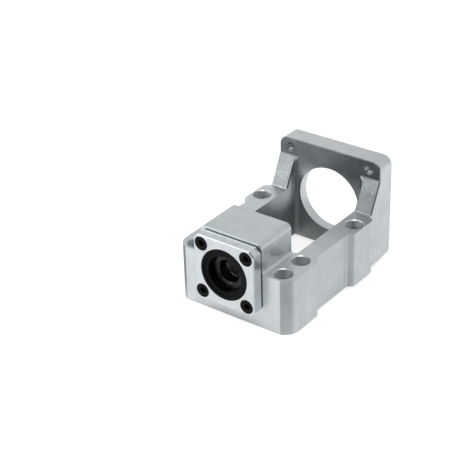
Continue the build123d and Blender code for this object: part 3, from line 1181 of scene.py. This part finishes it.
@dataclass(frozen=True)
class Softbox:
    """Rectangular lamp that points at the bracket, metres and watts."""

    name: str
    place: tuple[float, float, float]
    size: tuple[float, float]
    watts: float

    def hang(self, target: tuple[float, float, float]) -> None:
        """Hang the lamp.

        Args:
            target: Point that it shines at.
        """
        data = bpy.data.lights.new(self.name, "AREA")
        data.shape = "RECTANGLE"
        data.size, data.size_y = self.size
        data.energy = self.watts
        lamp = bpy.data.objects.new(self.name, data)
        lamp.location = self.place
        towards = Vector(target) - Vector(self.place)
        lamp.rotation_euler = towards.to_track_quat("-Z", "Y").to_euler()
        lamp.visible_camera = False
        bpy.context.scene.collection.objects.link(lamp)


@dataclass
class Studio:
    """White table, soft lamps and the camera, metres and degrees."""

    front_foot_y: float = -0.01275
    lip_edge_y: float = 0.07675
    lip_drop: float = 0.0025
    table_size: float = 14.0
    table_parts: int = 4
    azimuth: float = 37.86
    elevation: float = 29.55
    roll: float = -1.82
    distance: float = 0.7086
    aim: tuple[float, float, float] = (-0.02542, 0.01585, 0.03115)
    focal_pixels: float = 1377.0
    picture_pixels: float = 450.0
    sensor_mm: float = 36.0
    near_clip: float = 0.01
    far_clip: float = 50.0
    paper_grey: float = 0.42
    # Light that the paper itself gives to the eye, in the object's shadow and off it
    shadow_glow: float = 0.72
    paper_glow: float = 0.85
    shadow_reach: float = 0.12
    # Light that metal mirrors from the paper, close to the object and off it
    contact_shine: float = 0.25
    table_shine: float = 0.92
    contact_reach: float = 0.06
    contact_open: tuple[float, float] = (0.15, 0.5)
    occlusion_samples: int = 6
    room_level: float = 0.64
    room_top_level: float = 0.62
    horizon: float = -0.1
    # Patches of painted shade on the table, seen only in the metal's reflections
    shades: tuple[Shade, ...] = (
        Shade((0.065, -0.05, 0.0), 0.015, 0.06, 0.75),
        Shade((0.11, 0.05, 0.0), 0.05, 0.14, 0.82),
        Shade((-0.08, 0.015, 0.0), 0.035, 0.06, 0.35),
        Shade((0.0, 0.045, 0.0), 0.02, 0.04, 0.3),
    )
    openings: tuple[Opening, ...] = (
        Opening((0.53, -0.69, 0.49), 9.0, 18.0, 0.03),
        Opening((0.80, -0.56, 0.08), 14.0, 34.0, 0.15),
    )
    target: tuple[float, float, float] = (0.0, 0.03, 0.03)
    softboxes: tuple[Softbox, ...] = (
        Softbox("overhead_softbox", (0.25, -0.3, 0.85), (0.5, 0.5), 1.6),
        Softbox("left_softbox", (-0.75, -0.55, 0.6), (0.5, 0.5), 1.2),
        Softbox("back_softbox", (-0.18, 0.26, 0.17), (0.12, 0.12), 0.007),
        Softbox("low_softbox", (-0.29, -0.335, 0.055), (0.2, 0.09), 0.6),
    )

    def table(self) -> None:
        """Lay the white table under the front foot and the flange's lip, as the bracket rests."""
        slope = math.atan2(self.lip_drop, self.lip_edge_y - self.front_foot_y)
        build = bmesh.new()
        bmesh.ops.create_grid(build, x_segments=self.table_parts, y_segments=self.table_parts,
                              size=self.table_size / 2)
        bmesh.ops.transform(build, matrix=Matrix.Translation((0, self.front_foot_y, 0))
                            @ Matrix.Rotation(-slope, 4, "X"), verts=build.verts)
        mesh_object("studio_table", build, self.paper())

    @staticmethod
    def seen(tree: bpy.types.NodeTree, path: bpy.types.Node) -> bpy.types.Node:
        """One for the rays that show a thing to the eye, straight or through glass."""
        return add(tree, "ShaderNodeMath", {"operation": "MAXIMUM"}, {
            0: path.outputs["Is Camera Ray"], 1: path.outputs["Is Transmission Ray"]})

    def openness(self, tree: bpy.types.NodeTree, reach: float) -> bpy.types.NodeSocket:
        """How open a point of the table lies, from zero under the object to one off it."""
        return add(tree, "ShaderNodeAmbientOcclusion", {"samples": self.occlusion_samples}, {
            "Distance": reach}).outputs["AO"]

    def paper(self) -> bpy.types.Material:
        """White seamless paper that stays white to the eye and keeps a soft shadow.

        Returns:
            Material of the table.
        """
        made = bpy.data.materials.new("white_paper")
        made.use_nodes = True
        tree = made.node_tree
        tree.nodes.clear()
        path = add(tree, "ShaderNodeLightPath")
        glow = all_of(tree, self.seen(tree, path), ramp(
            tree, self.openness(tree, self.shadow_reach), 0.0, 1.0, self.shadow_glow, self.paper_glow))
        paper = add(tree, "ShaderNodeBsdfDiffuse", {}, {"Color": (*(self.paper_grey,) * 3, 1.0)})
        lit = add(tree, "ShaderNodeEmission", {}, {"Color": WHITE, "Strength": glow})
        both = add(tree, "ShaderNodeAddShader", {}, {0: paper, 1: lit})

        place = add(tree, "ShaderNodeTexCoord").outputs["Object"]
        shine = ramp(tree, self.openness(tree, self.contact_reach), *self.contact_open,
                     self.contact_shine, self.table_shine)
        for shade in self.shades:
            away = add(tree, "ShaderNodeVectorMath", {"operation": "DISTANCE"}, {
                0: place, 1: shade.place}).outputs["Value"]
            shine = all_of(tree, shine, ramp(tree, away, shade.inner, shade.outer, shade.level, 1.0))
        mirrored = add(tree, "ShaderNodeEmission", {}, {"Color": WHITE, "Strength": shine})
        surface = add(tree, "ShaderNodeMixShader", {}, {
            0: path.outputs["Is Glossy Ray"], 1: both, 2: mirrored})
        add(tree, "ShaderNodeOutputMaterial", {}, {"Surface": surface})
        return made

    def sky(self) -> None:
        """White backdrop for the eye and a dimmer room for the light."""
        world = bpy.data.worlds.new("studio_room")
        bpy.context.scene.world = world
        world.use_nodes = True
        tree = world.node_tree
        tree.nodes.clear()
        seen = self.seen(tree, add(tree, "ShaderNodeLightPath"))
        towards = add(tree, "ShaderNodeTexCoord").outputs["Generated"]
        up = add(tree, "ShaderNodeSeparateXYZ", {}, {0: towards})
        room = ramp(tree, up.outputs["Z"], self.horizon, 1.0, self.room_level, self.room_top_level)
        for opening in self.openings:
            near = add(tree, "ShaderNodeVectorMath", {"operation": "DOT_PRODUCT"}, {
                0: towards, 1: tuple(Vector(opening.towards).normalized())}).outputs["Value"]
            edge, heart = (math.cos(math.radians(angle)) for angle in (opening.outer, opening.inner))
            room = all_of(tree, room, ramp(tree, near, edge, heart, 1.0, opening.level))
        level = sum_of(tree, seen, all_of(tree, room, past(tree, seen, 1.0, -1.0)))
        back = add(tree, "ShaderNodeBackground", {}, {"Color": WHITE, "Strength": level})
        add(tree, "ShaderNodeOutputWorld", {}, {"Surface": back})

    def camera(self) -> None:
        """Stand the camera where it shows the bracket as it was photographed."""
        data = bpy.data.cameras.new("studio_camera")
        data.sensor_width = self.sensor_mm
        data.lens = self.focal_pixels / self.picture_pixels * self.sensor_mm
        data.clip_start, data.clip_end = self.near_clip, self.far_clip
        camera = bpy.data.objects.new("studio_camera", data)
        turn, tip, lean = (math.radians(angle) for angle in (self.azimuth, self.elevation, self.roll))
        ahead = Vector((-math.sin(turn) * math.cos(tip), math.cos(turn) * math.cos(tip), -math.sin(tip)))
        right = Vector((math.cos(turn), math.sin(turn), 0.0))
        above = right.cross(ahead)
        level = right * math.cos(lean) + above * math.sin(lean)
        up = above * math.cos(lean) - right * math.sin(lean)
        pose = Matrix((level, up, -ahead)).transposed().to_4x4()
        pose.translation = Vector(self.aim) - ahead * self.distance
        camera.matrix_world = pose
        bpy.context.scene.collection.objects.link(camera)
        bpy.context.scene.camera = camera

    def build(self) -> None:
        """Set up the table, the room, the lamps and the camera."""
        self.table()
        self.sky()
        for softbox in self.softboxes:
            softbox.hang(self.target)
        self.camera()
        bpy.context.scene.view_settings.view_transform = "Standard"
        LOG.info("studio set up")


def main() -> None:
    """Build the scene piece by piece."""
    logging.basicConfig(level=logging.INFO, format="%(name)s: %(message)s")
    BracketBody().build(BracketAluminium().material())
    # The threads keep the frame's own plain metal, which catches more light than the casting's finish
    MotorThreads().build(bpy.data.materials[Slot.CASTING.value])
    RetainingCover().build()
    CoverScrews().build()
    rubber = NitrileRubber().material()
    wire = SpringWire().material()
    OilSeal("front", seat_radius=14.0, lip_radius=9.5, face_y=-19.05,
            inward=Inward.BACKWARD).build(rubber, wire)
    OilSeal("rear", seat_radius=12.5, lip_radius=8.2, face_y=12.65,
            inward=Inward.FORWARD).build(rubber, wire)
    BearingPair().build()
    Studio().build()


if __name__ == "__main__":
    main()
